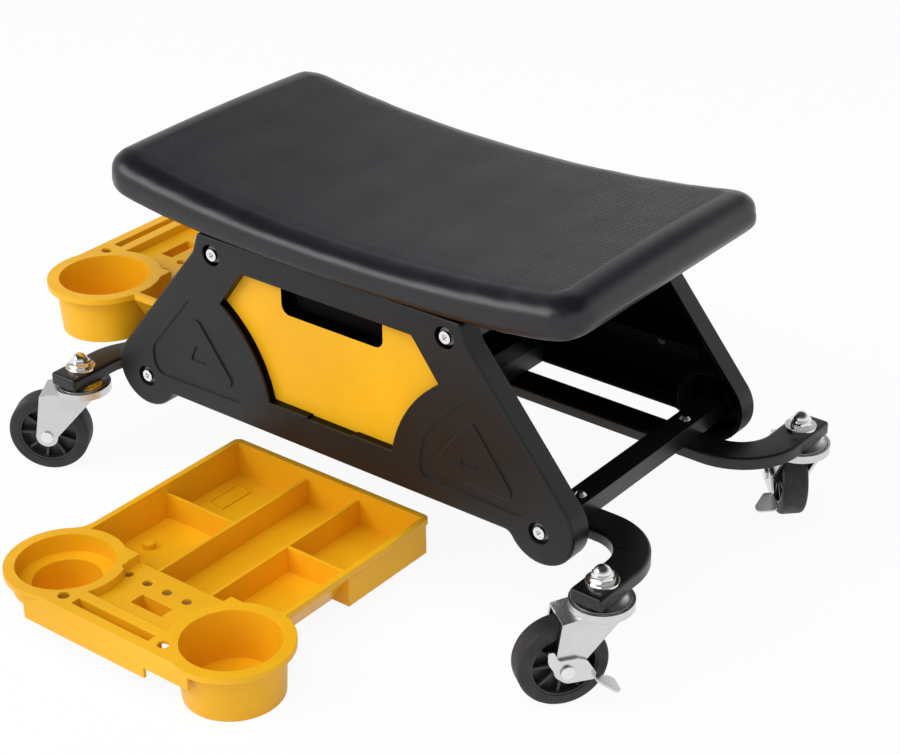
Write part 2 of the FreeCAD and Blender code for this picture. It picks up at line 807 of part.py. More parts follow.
def make_brake():
    """Side brake lever on the axle, outside the fork leg, with a horn and a sloping paddle."""
    y0 = fork_inside_w / 2 + fork_t + brake_gap
    y1 = y0 + brake_t
    body = side([(trail - brake_ahead, wheel_r - brake_low, brake_round),
                 (trail + brake_waist_back / 2, wheel_r - brake_low, brake_high),
                 (trail + brake_horn_back, wheel_r + brake_horn_top / 2, brake_high),
                 (trail + brake_horn_back, wheel_r + brake_horn_top, brake_round),
                 (trail + brake_horn_back - brake_horn_w, wheel_r + brake_horn_top, brake_round),
                 (trail + brake_waist_back, wheel_r + brake_high, brake_round),
                 (trail - brake_shoulder_ahead / 2, wheel_r + brake_high, brake_round),
                 (trail - brake_shoulder_ahead, wheel_r + brake_shoulder_high, brake_round),
                 (trail - brake_ahead, wheel_r - brake_ahead_high, brake_round)], y0, y1)
    slope = math.atan2(paddle_drop - brake_low, paddle_ahead - brake_ahead)
    length = (paddle_ahead - brake_ahead) / math.cos(slope)
    paddle = plan([(0, y0, 0), (0, paddle_root_out, paddle_round), (-length, paddle_out, paddle_round),
                   (-length, paddle_in, paddle_round)], 0, brake_t)
    paddle.rotate(Vector(0, 0, 0), Vector(0, 1, 0), -math.degrees(slope))
    paddle.translate(Vector(trail - brake_ahead + brake_t, 0, wheel_r - brake_low + brake_t))
    lever = fuse([body, paddle])
    return lever.cut(rod(axle_r + axle_gap, y0 - cut_over, y1 + brake_t, trail, wheel_r))


def caster_place(shape, sx, sy, angle):
    placed = shape.copy()
    placed.rotate(Vector(0, 0, 0), Vector(0, 0, 1), angle)
    placed.translate(Vector(sx * stem_x, sy * stem_y, 0))
    return placed


# Seat

def seat_section(x):
    """Cross section of the cushion at a distance x along the seat."""
    share = abs(x) / seat_half_l
    top = seat_top_z + seat_rise * share ** 2
    under = panel_top_z + seat_under_rise * share ** 4
    half_w = seat_half_w
    past_corner = abs(x) - (seat_half_l - seat_corner_r)
    if past_corner > 0:
        half_w += math.sqrt(seat_corner_r ** 2 - past_corner ** 2) - seat_corner_r
    past_roll = abs(x) - (seat_half_l - seat_roll)
    middle = (top + under) / 2
    if past_roll > 0:
        squeeze = math.sqrt(1 - (past_roll / seat_roll) ** 2)
        top = middle + (top - middle) * squeeze
        under = middle + (under - middle) * squeeze
    height = top - under
    round_share = 0.42
    r = height * round_share
    diagonal = r * (1 - math.sqrt(0.5))
    crown = seat_crown * height / (seat_top_z - panel_top_z)
    edge_top = top - min(crown, height * (0.5 - round_share))
    points = [(-half_w + r, under), (half_w - r, under), (half_w - diagonal, under + diagonal),
              (half_w, under + r), (half_w, edge_top - r), (half_w - diagonal, edge_top - diagonal),
              (half_w - r, edge_top), (0, top), (-half_w + r, edge_top),
              (-half_w + diagonal, edge_top - diagonal), (-half_w, edge_top - r), (-half_w, under + r),
              (-half_w + diagonal, under + diagonal)]
    p = [Vector(x, y, z) for y, z in points]
    edges = [Part.LineSegment(p[0], p[1]).toShape(), Part.Arc(p[1], p[2], p[3]).toShape(),
             Part.LineSegment(p[3], p[4]).toShape(), Part.Arc(p[4], p[5], p[6]).toShape(),
             Part.Arc(p[6], p[7], p[8]).toShape(), Part.Arc(p[8], p[9], p[10]).toShape(),
             Part.LineSegment(p[10], p[11]).toShape(), Part.Arc(p[11], p[12], p[0]).toShape()]
    return Part.Wire(edges)


def make_cushion():
    """Crowned cushion with rolled edges, dished along its length."""
    end_shares = (0.97, 0.86, 0.66, 0.4, 0.0)
    stations = [seat_half_l - seat_roll * (1 - s) for s in end_shares]
    stations += [seat_half_l - seat_corner_r * s for s in (0.75, 1.0)]
    stations += [seat_half_l * s for s in (0.72, 0.5, 0.25)]
    ordered = [-x for x in stations] + [0] + list(reversed(stations))
    return Part.makeLoft([seat_section(x) for x in ordered], True, True)


def make_board():
    board = plan([(-board_half_l, -board_half_w, seat_roll), (board_half_l, -board_half_w, seat_roll),
                  (board_half_l, board_half_w, seat_roll), (-board_half_l, board_half_w, seat_roll)],
                 board_under, panel_top_z)
    holes = [post(screw_r, board_under - cut_over, board_under + board_t / 2, sx * upper_bar_x, sy * board_screw_y)
             for sx in (-1, 1) for sy in (-1, 1)]
    return cut(board, holes)


# Centre divider

def make_divider():
    half_l = panel_in - divider_gap
    w = divider_half_w
    shell = box(-w, w, -half_l, half_l, arm_top, divider_top_z)
    hollow = box(-w + divider_wall, w - divider_wall, -half_l + divider_wall, half_l - divider_wall,
                 arm_top - cut_over, divider_top_z - divider_wall)
    shell = shell.cut(hollow)
    for s in (-1, 1):
        shell = shell.fuse(post(divider_boss_r, arm_top, divider_top_z - divider_wall / 2, 0, s * rail_y))
    holes = [post(screw_r, arm_top - cut_over, divider_top_z + cut_over, 0, s * rail_y) for s in (-1, 1)]
    return cut(shell, holes).removeSplitter()


def divider_screws():
    screws = []
    for s in (-1, 1):
        shank = post(screw_r, arm_under, divider_top_z, 0, s * rail_y)
        head = cone(screw_head_r, screw_head_r / 2, divider_top_z, divider_top_z + screw_head_t, 0, s * rail_y)
        screws.append(shank.fuse(head).removeSplitter())
    return screws


# Tool tray

def tray_rim():
    """The rim plate: box, two cup rims and the straight front, with blended necks."""
    low = tray_rim_z - tray_rim_t
    w = tray_half_w
    plate = plan([(0, -w, tray_corner_r), (cup_x, -w, 0), (cup_x, w, 0), (0, w, tray_corner_r)], low, tray_rim_z)
    front = box(cup_x, front_x, dish_y, cup_y, low, tray_rim_z)
    rims = [post(cup_rim_r, low, tray_rim_z, cup_x, cup_y), post(dish_rim_r, low, tray_rim_z, dish_x, dish_y)]
    # Past the cups' centre lines the box's corners lie inside the rims' circles, so they are trimmed.
    plate = fuse([plate, front] + rims)
    dish_neck = dish_x - math.sqrt(dish_rim_r ** 2 - (w + dish_y) ** 2)
    plate = plate.makeFillet(neck_blend_r, upright_edges_at(plate, dish_neck, -w))
    return plate


def tray_compartments():
    """Cutting bodies for the five compartments below the dividing walls' top."""
    floor = tray_rim_z - box_depth + tray_wall
    top = tray_rim_z - divide_drop
    x0 = tray_rim_over + tray_wall
    x1 = box_l - tray_wall
    w = tray_body_half_w - tray_wall
    d = divide_t / 2
    left = [(x0, divide_cross_x - d, -w, divide_left_y - d), (divide_cross_x + d, x1, -w, divide_left_y - d)]
    middle = [(x0, x1, divide_left_y + d, divide_right_y - d)]
    right = [(x0, divide_cross_x - d, divide_right_y + d, w)]
    cells = [box(a, b, c, e, floor, top + cut_over) for a, b, c, e in left + middle + right]
    lean = side([(divide_right_y + d, floor, 0), (w - side_recess, floor, 0), (w, top, 0),
                 (w, top + cut_over, 0), (divide_right_y + d, top + cut_over, 0)], 0, x1 - divide_cross_x - d)
    lean.rotate(Vector(0, 0, 0), Vector(0, 0, 1), 90)
    lean.translate(Vector(x1, 0, 0))
    cells.append(lean)
    return cells


def tray_side_recess():
    """Cut under the rim on the plain cup's side, where the side wall leans in."""
    low = tray_rim_z - box_depth
    w = tray_body_half_w
    wedge = side([(w - side_recess, low - cut_over, 0), (w + tray_rim_over + cut_over, low - cut_over, 0),
                  (w + tray_rim_over + cut_over, tray_rim_z - tray_rim_t, 0), (w, tray_rim_z - tray_rim_t, 0),
                  (w - side_recess, low, 0)], 0, cup_x - side_recess_x)
    wedge.rotate(Vector(0, 0, 0), Vector(0, 0, 1), 90)
    wedge.translate(Vector(cup_x, 0, 0))
    return wedge


def tray_holes():
    """Round holes through the deck and the ridge, along Z."""
    centres = [(hole_x, hole_mid_y + hole_pitch * (i - (hole_count - 1) / 2), hole_r) for i in range(hole_count)]
    centres += [(end_hole_x, s * end_hole_y + slot_mid_y, end_hole_r) for s in (-1, 1)]
    return centres


def make_tray():
    rim_under = tray_rim_z - tray_rim_t
    base = tray_rim_z - box_depth
    ridge_top = tray_rim_z
    deck_top = tray_rim_z - deck_drop
    deck_under = deck_top - tray_wall
    w = tray_body_half_w

    body = box(tray_rim_over, box_l, -w, w, base, rim_under).cut(tray_side_recess())
    deck = box(box_l - tray_wall, deck_x + tray_wall, deck_left_y - tray_wall, deck_right_y + tray_wall,
               deck_under, rim_under)
    ridge = plan([(deck_x, ridge_left_y, 0), (front_x, ridge_left_y, 0), (front_x, ridge_right_y, 0),
                  (deck_x, ridge_right_y, 0)], deck_under, ridge_top)
    ridge_hollow = box(deck_x + tray_wall, front_x - tray_wall, ridge_left_y + tray_wall, ridge_right_y - tray_wall,
                       deck_under - cut_over, ridge_top - tray_wall)
    solid = fuse([body, tray_rim(), deck, ridge]).cut(ridge_hollow)

    # Pockets under the slot and the socket
    slot_y0 = slot_mid_y - slot_half_l
    slot_y1 = slot_mid_y + slot_half_l
    slot_x0 = slot_x - slot_w / 2
    slot_x1 = slot_x + slot_w / 2
    socket_x0 = socket_x - socket_w / 2
    socket_x1 = socket_x + socket_w / 2
    socket_y0 = socket_y - socket_l / 2
    socket_y1 = socket_y + socket_l / 2
    slot_pocket = box(slot_x0 - tray_wall, slot_x1 + tray_wall, slot_y0 - tray_wall, slot_y1 + tray_wall,
                      slot_floor_z - tray_wall, ridge_top - tray_wall / 2)
    socket_pocket = box(socket_x0 - tray_wall, socket_x1 + tray_wall, socket_y0 - tray_wall,
                        socket_y1 + tray_wall, slot_floor_z - tray_wall, deck_under + tray_wall / 2)

    # Cups: the plain one is a tapered pot, the other a shallow dish with a well
    cup_outer_r = cup_inner_r + cup_wall
    cup = cone(cup_outer_r - cup_taper, cup_outer_r, 0, rim_under + tray_rim_t / 2, cup_x, cup_y)
    dish_floor = tray_rim_z - dish_depth
    dish = post(dish_inner_r + cup_wall, dish_floor - tray_wall, rim_under + tray_rim_t / 2, dish_x, dish_y)
    well = cone(well_r + cup_wall - cup_taper / 2, well_r + cup_wall, 0, dish_floor, dish_x, dish_y)

    # Skirt under the straight front, deeper away from the plain cup
    skirt_x = front_x - tray_wall
    skirt = fuse([box(skirt_x, front_x, dish_y, skirt_step_y, skirt_deep_z, rim_under + tray_rim_t / 2),
                  box(skirt_x, front_x, dish_y, cup_y, skirt_shallow_z, rim_under + tray_rim_t / 2)])
    solid = fuse([solid, slot_pocket, socket_pocket, cup, dish, well, skirt])

    # Hollow out from above
    inner_x0 = tray_rim_over + tray_wall
    inner_w = w - tray_wall
    keep = fuse([post(cup_rim_r, base, ridge_top + cut_over, cup_x, cup_y),
                 post(dish_rim_r, base, ridge_top + cut_over, dish_x, dish_y)])
    cells = tray_compartments()
    upper = box(inner_x0, box_l - tray_wall, -inner_w, inner_w, tray_rim_z - divide_drop,
                ridge_top + cut_over)
    deck_cut = box(box_l - tray_wall - cut_over, deck_x, deck_left_y, deck_right_y, deck_top, ridge_top + cut_over)
    # The rim of each cup stands above the compartments; its wall runs on down inside them.
    solid = cut(solid, [cell.cut(keep) for cell in cells + [upper, deck_cut]])
    cup_in = cone(cup_inner_r - cup_taper, cup_inner_r, tray_wall, tray_rim_z + cut_over, cup_x, cup_y)
    dish_in = post(dish_inner_r, dish_floor, tray_rim_z + cut_over, dish_x, dish_y)
    well_in = cone(well_r - cup_taper / 2, well_r, tray_wall, dish_floor + cut_over, dish_x, dish_y)
    slot_in = box(slot_x0, slot_x1, slot_y0, slot_y1, slot_floor_z, ridge_top + cut_over)
    socket_in = box(socket_x0, socket_x1, socket_y0, socket_y1, slot_floor_z, ridge_top + cut_over)
    solid = cut(solid, [cup_in, dish_in, well_in, slot_in, socket_in])
    solid = cut(solid, [post(r, base, ridge_top + cut_over, x, y) for x, y, r in tray_holes()])
    floor_top = base + tray_wall
    rib = box(rib_x - rib_half_l, rib_x + rib_half_l, rib_y - rib_half_w, rib_y + rib_half_w,
              floor_top - tray_wall / 2, floor_top + rib_h)
    rib = rib.cut(box(rib_x - rib_half_l + rib_w, rib_x + rib_half_l - rib_w, rib_y - rib_half_w + rib_w,
                      rib_y + rib_half_w - rib_w, base, tray_rim_z))
    peg = post(peg_r, floor_top - tray_wall / 2, floor_top + peg_h, peg_x, peg_y)
    return fuse([solid, rib, peg])


def mounted(shape):
    """Tray in the left bay, pushed in to its stops."""
    placed = shape.copy()
    placed.rotate(Vector(0, 0, 0), Vector(0, 0, 1), 180)
    placed.translate(Vector(-mounted_end_x, 0, mounted_base_z))
    return placed


def standing(shape):
    """Tray on the floor in front of the seat."""
    placed = shape.copy()
    placed.rotate(Vector(0, 0, 0), Vector(0, 0, 1), -90)
    placed.translate(Vector(standing_x, standing_y, 0))
    return placed


# Assembly

def build():
    nodes = {}
    panel = make_panel()
    insert = make_insert()
    ledge = make_ledge()
    rail = make_rail()
    nodes["seat_cushion"] = [make_cushion()]
    nodes["seat_board"] = [make_board()]
    nodes["seat_board_screws"] = board_screws()
    nodes["side_panel_near"] = [panel]
    nodes["side_panel_far"] = [far_side(panel)]
    nodes["window_insert_near"] = [insert]
    nodes["window_insert_far"] = [far_side(insert)]
    screws = [small_screw(-insert_face + insert_t, x, z) for x, z in insert_screw_places()]
    nodes["insert_screws"] = screws + [far_side(s) for s in screws]
    nodes["tray_rail_near"] = [ledge]
    nodes["tray_rail_far"] = [far_side(ledge)]
    screws = [small_screw(-ledge_face + ledge_t, s * ledge_boss_x, ledge_mid()) for s in (-1, 1)]
    nodes["tray_rail_screws"] = screws + [far_side(s) for s in screws]
    both = (-board_screw_y, board_screw_y)
    nodes["upper_crossbar_left"] = [bar_tube(-upper_bar_x, upper_bar_z, both)]
    nodes["upper_crossbar_right"] = [bar_tube(upper_bar_x, upper_bar_z, both)]
    both = (-rail_screw_y, rail_screw_y)
    nodes["lower_crossbar_left"] = [bar_tube(-lower_bar_x, bolt_low_z, both)]
    nodes["lower_crossbar_right"] = [bar_tube(lower_bar_x, bolt_low_z, both)]
    nodes["crossbar_plugs"] = bar_plugs()
    nodes["panel_bolts"] = panel_bolts()
    nodes["panel_bolt_washers"] = panel_bolt_washers()
    nodes["crossbar_screws"] = crossbar_screws()
    nodes["base_rail_near"] = [rail]
    nodes["base_rail_far"] = [far_side(rail)]
    nodes["centre_divider"] = [make_divider()]
    nodes["divider_screws"] = divider_screws()
    nodes["stem_washers"] = stem_washers()
    nodes["acorn_nuts"] = acorn_nuts()

    casters = [("near_left", -1, -1, angle_near_left, False), ("near_right", 1, -1, angle_near_right, True),
               ("far_left", -1, 1, angle_far_left, False), ("far_right", 1, 1, angle_far_right, True)]
    stem, balls, fork, hub, tyre, brake = (make_stem(), make_balls(), make_fork(), make_hub(), make_tyre(),
                                           make_brake())
    for name, sx, sy, angle, braked in casters:
        nodes["stem_" + name] = [caster_place(stem, sx, sy, angle)]
        nodes["swivel_balls_" + name] = [caster_place(ball, sx, sy, angle) for ball in balls]
        nodes["fork_" + name] = [caster_place(fork, sx, sy, angle)]
        nodes["axle_" + name] = [caster_place(make_axle(braked), sx, sy, angle)]
        nodes["wheel_hub_" + name] = [caster_place(hub, sx, sy, angle)]
        nodes["tyre_" + name] = [caster_place(tyre, sx, sy, angle)]
        if braked:
            nodes["brake_lever_" + name] = [caster_place(brake, sx, sy, angle)]

    tray = make_tray()
    nodes["tray_mounted"] = [mounted(tray)]
    nodes["tray_standing"] = [standing(tray)]
    return nodes


def footprint_shift(nodes):
    """Move that puts the middle of the whole set's footprint at the origin."""
    whole = FreeCAD.BoundBox()
    for solids in nodes.values():
        for solid in solids:
            whole.add(solid.optimalBoundingBox(False, False))
    return Vector(-(whole.XMin + whole.XMax) / 2, -(whole.YMin + whole.YMax) / 2, 0)


def main():
    nodes = build()
    shift = footprint_shift(nodes)
    print("seat centre at", round(shift.x, 4), round(shift.y, 4))
    for name, solids in nodes.items():
        moved = []
        for solid in solids:
            placed = solid.copy()
            placed.translate(shift)
            moved.append(placed)
            good = placed.isValid() and placed.Volume > 0 and len(placed.Solids) == 1
            if not good:
                print("check", name, placed.isValid(), placed.Volume, len(placed.Solids))
        shape = moved[0] if len(moved) == 1 else Part.makeCompound(moved)
        shape.exportStep("parts/" + name + ".step")
    print(len(nodes), "nodes")
    return nodes, shift


main()
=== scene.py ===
"""Creeper seat: finishes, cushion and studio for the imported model."""

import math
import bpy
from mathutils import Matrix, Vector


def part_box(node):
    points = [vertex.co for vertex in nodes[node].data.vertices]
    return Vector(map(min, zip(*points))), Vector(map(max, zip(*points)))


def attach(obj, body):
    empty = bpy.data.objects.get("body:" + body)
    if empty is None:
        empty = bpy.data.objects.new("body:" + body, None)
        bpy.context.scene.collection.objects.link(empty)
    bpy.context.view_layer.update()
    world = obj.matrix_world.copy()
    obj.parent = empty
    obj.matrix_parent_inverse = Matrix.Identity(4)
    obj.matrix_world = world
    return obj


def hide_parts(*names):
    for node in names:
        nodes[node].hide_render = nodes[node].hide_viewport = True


bl_info = {
    "name": "Creeper seat",
    "version": (1, 0, 0),
    "blender": (4, 5, 0),
    "location": "3D View > Sidebar > Creeper seat",
    "description": "Cushion, finishes and studio for a rolling creeper seat",
    "category": "Object",
}

import bpy
from bpy.props import FloatProperty, FloatVectorProperty, PointerProperty
from mathutils import Matrix, Vector

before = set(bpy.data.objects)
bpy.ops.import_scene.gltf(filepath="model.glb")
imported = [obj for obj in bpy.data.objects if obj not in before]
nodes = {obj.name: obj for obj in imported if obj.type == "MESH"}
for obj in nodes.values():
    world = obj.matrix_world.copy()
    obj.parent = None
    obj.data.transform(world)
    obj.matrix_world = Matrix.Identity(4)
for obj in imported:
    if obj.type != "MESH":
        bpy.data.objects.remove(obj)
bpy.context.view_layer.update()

CASTERS = ("near_left", "near_right", "far_left", "far_right")
SIDES = ("near", "far")

# Points closer than this, in metres, are joined, and edges sharper than this, in degrees, are crisp
WELD = 0.00001
CREASE = 32.0

# The cushion's mesh: how much and how often it is smoothed, the width over which the field's mark
# fades out, and the least that the field's normals point up
SOFTEN_SHARE = 0.5
SOFTEN_STEPS = 6
FIELD_FADE = 0.004
FIELD_UP = 0.5

# How far a face may look outwards and still be painted near-black as shade, from -1, straight inwards,
# to 1
PANEL_SHADE_LIMIT = -0.95
INSERT_SHADE_LIMIT = 0.5

# The middle of the studio, and the lamps' places seen from there, two as a direction times a distance
MIDDLE = Vector((0, 0.05, 0.15))
TOP_PLACE = Vector((0.1, -1.0, 2.15))
KEY_PLACE = Vector((-0.54, -0.62, 0.56)) * 2.3
RIM_PLACE = Vector((0.48, 0.69, 0.55)) * 2.5

# The camera of the photograph: its place, and its right, up and forward directions
CAMERA_PLACE = (1.01412, -1.13791, 0.9692)
CAMERA_RIGHT = Vector((0.78469, 0.61970, -0.01504))
CAMERA_UP = Vector((-0.2863, 0.3838, 0.8779))
CAMERA_AHEAD = Vector((-0.54983, 0.68460, -0.47855))
SENSOR_WIDTH = 36

# Most values of a noise texture lie between these
NOISE_LOW = 0.35
NOISE_HIGH = 0.65

# Radii by which a material rounds crisp edges, for mouldings and painted steel, and for plated steel
EASE = 0.0008
EASE_PLATED = 0.0006

# The floor's colour under the lamps, and the share of its own white that the camera sees
WHITE = (1, 1, 1, 1)
FLOOR_GREY = (0.9, 0.9, 0.9, 1)
FLOOR_GLOW = 0.93


# Sizes and colours

class CREEPER_PG_cushion(bpy.types.PropertyGroup):
    cover_colour: FloatVectorProperty(
        name="Cover colour", description="Colour of the vinyl cover", subtype="COLOR",
        size=3, min=0, max=1, default=(0.0066, 0.0063, 0.0098))
    border_end: FloatProperty(
        name="Border at the ends", description="Width of the smooth border at the short ends",
        default=0.024, unit="LENGTH")
    border_side: FloatProperty(
        name="Border at the sides", description="Width of the smooth border along the long sides",
        default=0.019, unit="LENGTH")
    field_corner: FloatProperty(
        name="Field corner", description="Corner radius of the grained field",
        default=0.012, unit="LENGTH")
    field_sink: FloatProperty(
        name="Field sink", description="How far the grained field lies below its border",
        default=0.0003, unit="LENGTH")
    outline_corner: FloatProperty(
        name="Outline corner", description="Corner radius of the cushion's outline",
        default=0.027, unit="LENGTH")
    lower_roll: FloatProperty(
        name="Lower roll", description="Radius of the roll along the cushion's lower edge",
        default=0.013, unit="LENGTH")
    lower_roll_power: FloatProperty(
        name="Lower roll fullness", description="Squareness of the lower roll, where 2 is round",
        default=4.0)
    swell: FloatProperty(
        name="Swell", description="How far the padding lifts the middle of the top",
        default=0.003, unit="LENGTH")
    border_fall: FloatProperty(
        name="Border fall", description="How far the top falls from the field to the outline",
        default=0.0050, unit="LENGTH")
    border_fall_w: FloatProperty(
        name="Border fall width", description="Width over which the top falls",
        default=0.029, unit="LENGTH")
    voxel: FloatProperty(
        name="Remesh size", description="Spacing of the cushion's mesh before it is subdivided",
        default=0.004, unit="LENGTH")
    grain_pitch: FloatProperty(
        name="Grain pitch", description="Spacing of the rows in the grained field",
        default=0.0025, unit="LENGTH")


class CREEPER_PG_plastic(bpy.types.PropertyGroup):
    panel_colour: FloatVectorProperty(
        name="Panel colour", description="Colour of the moulded side panels", subtype="COLOR",
        size=3, min=0, max=1, default=(0.0080, 0.0080, 0.0088))
    tray_colour: FloatVectorProperty(
        name="Tray colour", description="Colour of the trays and window inserts", subtype="COLOR",
        size=3, min=0, max=1, default=(0.89, 0.458, 0.008))
    # Painted shade: a near-black for the panels' inner sides and recesses, where shade falls, also used
    # for the tray ledges
    inner_shade_colour: FloatVectorProperty(
        name="Inner colour", description="Colour of the panels' inner sides, recesses and ledges",
        subtype="COLOR", size=3, min=0, max=1, default=(0.002, 0.002, 0.002))
    # Painted shade: these four bound the place where a panel's recesses are painted near-black as shade
    shade_recess_depth: FloatProperty(
        name="Recess depth", description="Depth from which a panel's recesses are black",
        default=0.0017, unit="LENGTH")
    shade_recess_half: FloatProperty(
        name="Recess half length", description="Half the length of the place with black recesses",
        default=0.126, unit="LENGTH")
    shade_recess_low: FloatProperty(
        name="Recess low", description="Lower edge of the place with black recesses",
        default=0.112, unit="LENGTH")
    shade_recess_high: FloatProperty(
        name="Recess high", description="Upper edge of the place with black recesses",
        default=0.246, unit="LENGTH")
    wheel_colour: FloatVectorProperty(
        name="Wheel colour", description="Colour of the moulded wheels", subtype="COLOR",
        size=3, min=0, max=1, default=(0.022, 0.022, 0.024))
    tyre_colour: FloatVectorProperty(
        name="Tyre colour", description="Colour of the rubber tyres", subtype="COLOR",
        size=3, min=0, max=1, default=(0.016, 0.016, 0.017))


class CREEPER_PG_metal(bpy.types.PropertyGroup):
    paint_colour: FloatVectorProperty(
        name="Paint colour", description="Colour of the painted rails and bars", subtype="COLOR",
        size=3, min=0, max=1, default=(0.0045, 0.0045, 0.005))
    zinc_colour: FloatVectorProperty(
        name="Zinc colour", description="Colour of the zinc-plated forks", subtype="COLOR",
        size=3, min=0, max=1, default=(0.66, 0.66, 0.67))
    bolt_colour: FloatVectorProperty(
        name="Bolt colour", description="Colour of the bright bolts, screws and nuts", subtype="COLOR",
        size=3, min=0, max=1, default=(0.86, 0.86, 0.87))
    # Painted shade: the washers are darkened to stand for the shade of the wells they sit in
    washer_shade_colour: FloatVectorProperty(
        name="Washer colour", description="Colour of the dull washers in the panels", subtype="COLOR",
        size=3, min=0, max=1, default=(0.16, 0.16, 0.165))
    axle_colour: FloatVectorProperty(
        name="Axle colour", description="Colour of the axles and swivel balls", subtype="COLOR",
        size=3, min=0, max=1, default=(0.82, 0.82, 0.84))


class CREEPER_PG_stage(bpy.types.PropertyGroup):
    floor_size: FloatProperty(
        name="Floor size", description="Side of the pale floor", default=14.0, unit="LENGTH")
    lens: FloatProperty(
        name="Lens", description="Focal length of the camera in millimetres", default=88.345)
    top_power: FloatProperty(
        name="Top lamp", description="Power of the broad lamp above", default=43.0, unit="POWER")
    key_power: FloatProperty(
        name="Key lamp", description="Power of the lamp whose reflection lies along the cushion's side",
        default=18.0, unit="POWER")
    rim_power: FloatProperty(
        name="Rim lamp", description="Power of the lamp behind on the right", default=8.0, unit="POWER")


class CREEPER_PG_seat(bpy.types.PropertyGroup):
    cushion: PointerProperty(type=CREEPER_PG_cushion)
    plastic: PointerProperty(type=CREEPER_PG_plastic)
    metal: PointerProperty(type=CREEPER_PG_metal)
    stage: PointerProperty(type=CREEPER_PG_stage)


def settings():
    return bpy.context.scene.creeper_seat


# Helpers for pieces

def deselect():
    if bpy.context.object and bpy.context.object.mode != "OBJECT":
        bpy.ops.object.mode_set(mode="OBJECT")
    bpy.ops.object.select_all(action="DESELECT")


def pick(piece):
    deselect()
    piece.select_set(True)
    bpy.context.view_layer.objects.active = piece


def copy_of(node_name, piece_name):
    """A new mesh piece with the shape of a node, its loose triangles joined."""
    source = nodes[node_name]
    piece = bpy.data.objects.new(piece_name, source.data.copy())
    bpy.context.scene.collection.objects.link(piece)
    piece.data.materials.clear()
    pick(piece)
    bpy.ops.object.mode_set(mode="EDIT")
    bpy.ops.mesh.select_all(action="SELECT")
    bpy.ops.mesh.remove_doubles(threshold=WELD)
    bpy.ops.mesh.normals_make_consistent(inside=False)
    bpy.ops.object.mode_set(mode="OBJECT")
    return piece


def paint(piece, finish):
    piece.data.materials.clear()
    piece.data.materials.append(finish)


def dress(node_name, finish):
    """Gives a node its finish, with soft shading over its curves and crisp edges."""
    node = nodes[node_name]
    paint(node, finish)
    for face in node.data.polygons:
        face.use_smooth = True
    weld = node.modifiers.new("Join", "WELD")
    weld.merge_threshold = WELD
    split = node.modifiers.new("Crease", "EDGE_SPLIT")
    split.split_angle = math.radians(CREASE)


# Helpers for finishes

def new_finish(name, colour, roughness, metallic=0.0):
    """A material with its shader, and the shader's colour, roughness and metal set."""
    finish = bpy.data.materials.new(name)
    finish.use_nodes = True
    tree = finish.node_tree
    shader = tree.nodes["Principled BSDF"]
    shader.inputs["Base Color"].default_value = (*colour, 1)
    shader.inputs["Roughness"].default_value = roughness
    shader.inputs["Metallic"].default_value = metallic
    return finish, tree, shader


def place_of(tree):
    """The place on the object, in metres, from one shared coordinate node."""
    found = tree.nodes.get("Place")
    if found:
        return found.outputs["Object"]
    coords = tree.nodes.new("ShaderNodeTexCoord")
    coords.name = "Place"
    return coords.outputs["Object"]


def noise(tree, scale, detail):
    """Soft noise with about `scale` cells in a metre."""
    texture = tree.nodes.new("ShaderNodeTexNoise")
    texture.inputs["Scale"].default_value = scale
    texture.inputs["Detail"].default_value = detail
    texture.inputs["Roughness"].default_value = 0.55
    tree.links.new(place_of(tree), texture.inputs["Vector"])
    return texture.outputs["Fac"]


def spread(tree, value, low, high, from_low=NOISE_LOW, from_high=NOISE_HIGH):
    """Maps a texture's value to a range of roughness or height."""
    fit = tree.nodes.new("ShaderNodeMapRange")
    fit.inputs["From Min"].default_value = from_low
    fit.inputs["From Max"].default_value = from_high
    fit.inputs["To Min"].default_value = low
    fit.inputs["To Max"].default_value = high
    tree.links.new(value, fit.inputs["Value"])
    return fit.outputs["Result"]


def tint(tree, value, dark, light):
    """Maps a texture's value to a colour between dark and light."""
    ramp = tree.nodes.new("ShaderNodeValToRGB")
    start, end = ramp.color_ramp.elements
    start.position, end.position = NOISE_LOW, NOISE_HIGH
    start.color, end.color = (*dark, 1), (*light, 1)
    tree.links.new(value, ramp.inputs["Fac"])
    return ramp.outputs["Color"]


def raise_surface(tree, height, strength, distance, under=None):
    """A bumped normal, on top of another normal if one is given."""
    bump = tree.nodes.new("ShaderNodeBump")
    bump.inputs["Strength"].default_value = strength
    bump.inputs["Distance"].default_value = distance
    tree.links.new(height, bump.inputs["Height"])
    if under:
        tree.links.new(under, bump.inputs["Normal"])
    return bump.outputs["Normal"]


def cloud_colour(tree, shader, colour, scale, detail, dark, light):
    """Clouds the shader's colour a little, between a darker and a lighter share of it."""
    clouds = tint(tree, noise(tree, scale, detail), scaled(colour, dark), scaled(colour, light))
    tree.links.new(clouds, shader.inputs["Base Color"])


def scaled(colour, factor):
    return tuple(min(1.0, c * factor) for c in colour)


def math_step(tree, operation, first, second=None, third=None):
    """One math node. Its inputs are numbers or the outputs of other nodes."""
    step = tree.nodes.new("ShaderNodeMath")
    step.operation = operation
    for socket, value in zip(step.inputs, (first, second, third)):
        if value is None:
            continue
        if isinstance(value, (int, float)):
            socket.default_value = value
        else:
            tree.links.new(value, socket)
    return step.outputs["Value"]


